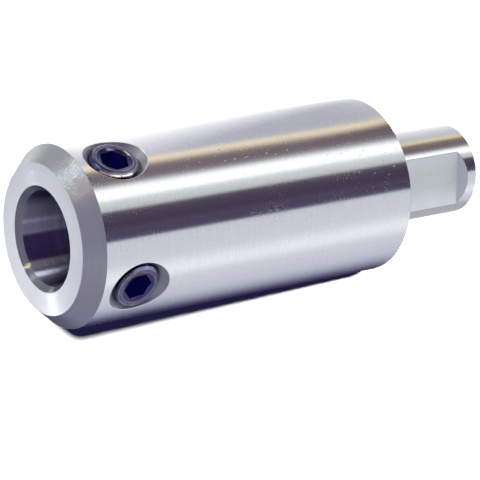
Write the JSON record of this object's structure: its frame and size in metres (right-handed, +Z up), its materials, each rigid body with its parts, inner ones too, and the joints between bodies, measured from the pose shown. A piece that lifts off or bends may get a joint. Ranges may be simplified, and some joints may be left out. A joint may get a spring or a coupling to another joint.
{
  "type": "annular cutter extension arbor",
  "caption": "Turned steel extension arbor: round body with a cross-screwed socket at one end and a flatted round shank at the other.",
  "frame": {"origin": "centre of the shank's end face, which is what the arbor stands on", "axes": "+Z up the arbor's axis and out of the socket; one set screw points along -Y (front) and the other along +X"},
  "size_m": [0.0368, 0.0368, 0.1034],
  "materials": {
    "ground_steel": "turned and ground, bright",
    "black_oxide_steel": "black oxide"
  },
  "bodies": {
    "arbor": {"arbor_body": "ground_steel"},
    "front_screw": {"front_set_screw": "black_oxide_steel"},
    "right_screw": {"right_set_screw": "black_oxide_steel"}
  },
  "joints": [
    {"name": "front_screw_travel", "type": "slide", "parent": "arbor", "child": "front_screw", "axis": [0, 1, 0], "range_m": [-0.003, 0.003]},
    {"name": "right_screw_travel", "type": "slide", "parent": "arbor", "child": "right_screw", "axis": [-1, 0, 0], "range_m": [-0.003, 0.003]}
  ]
}
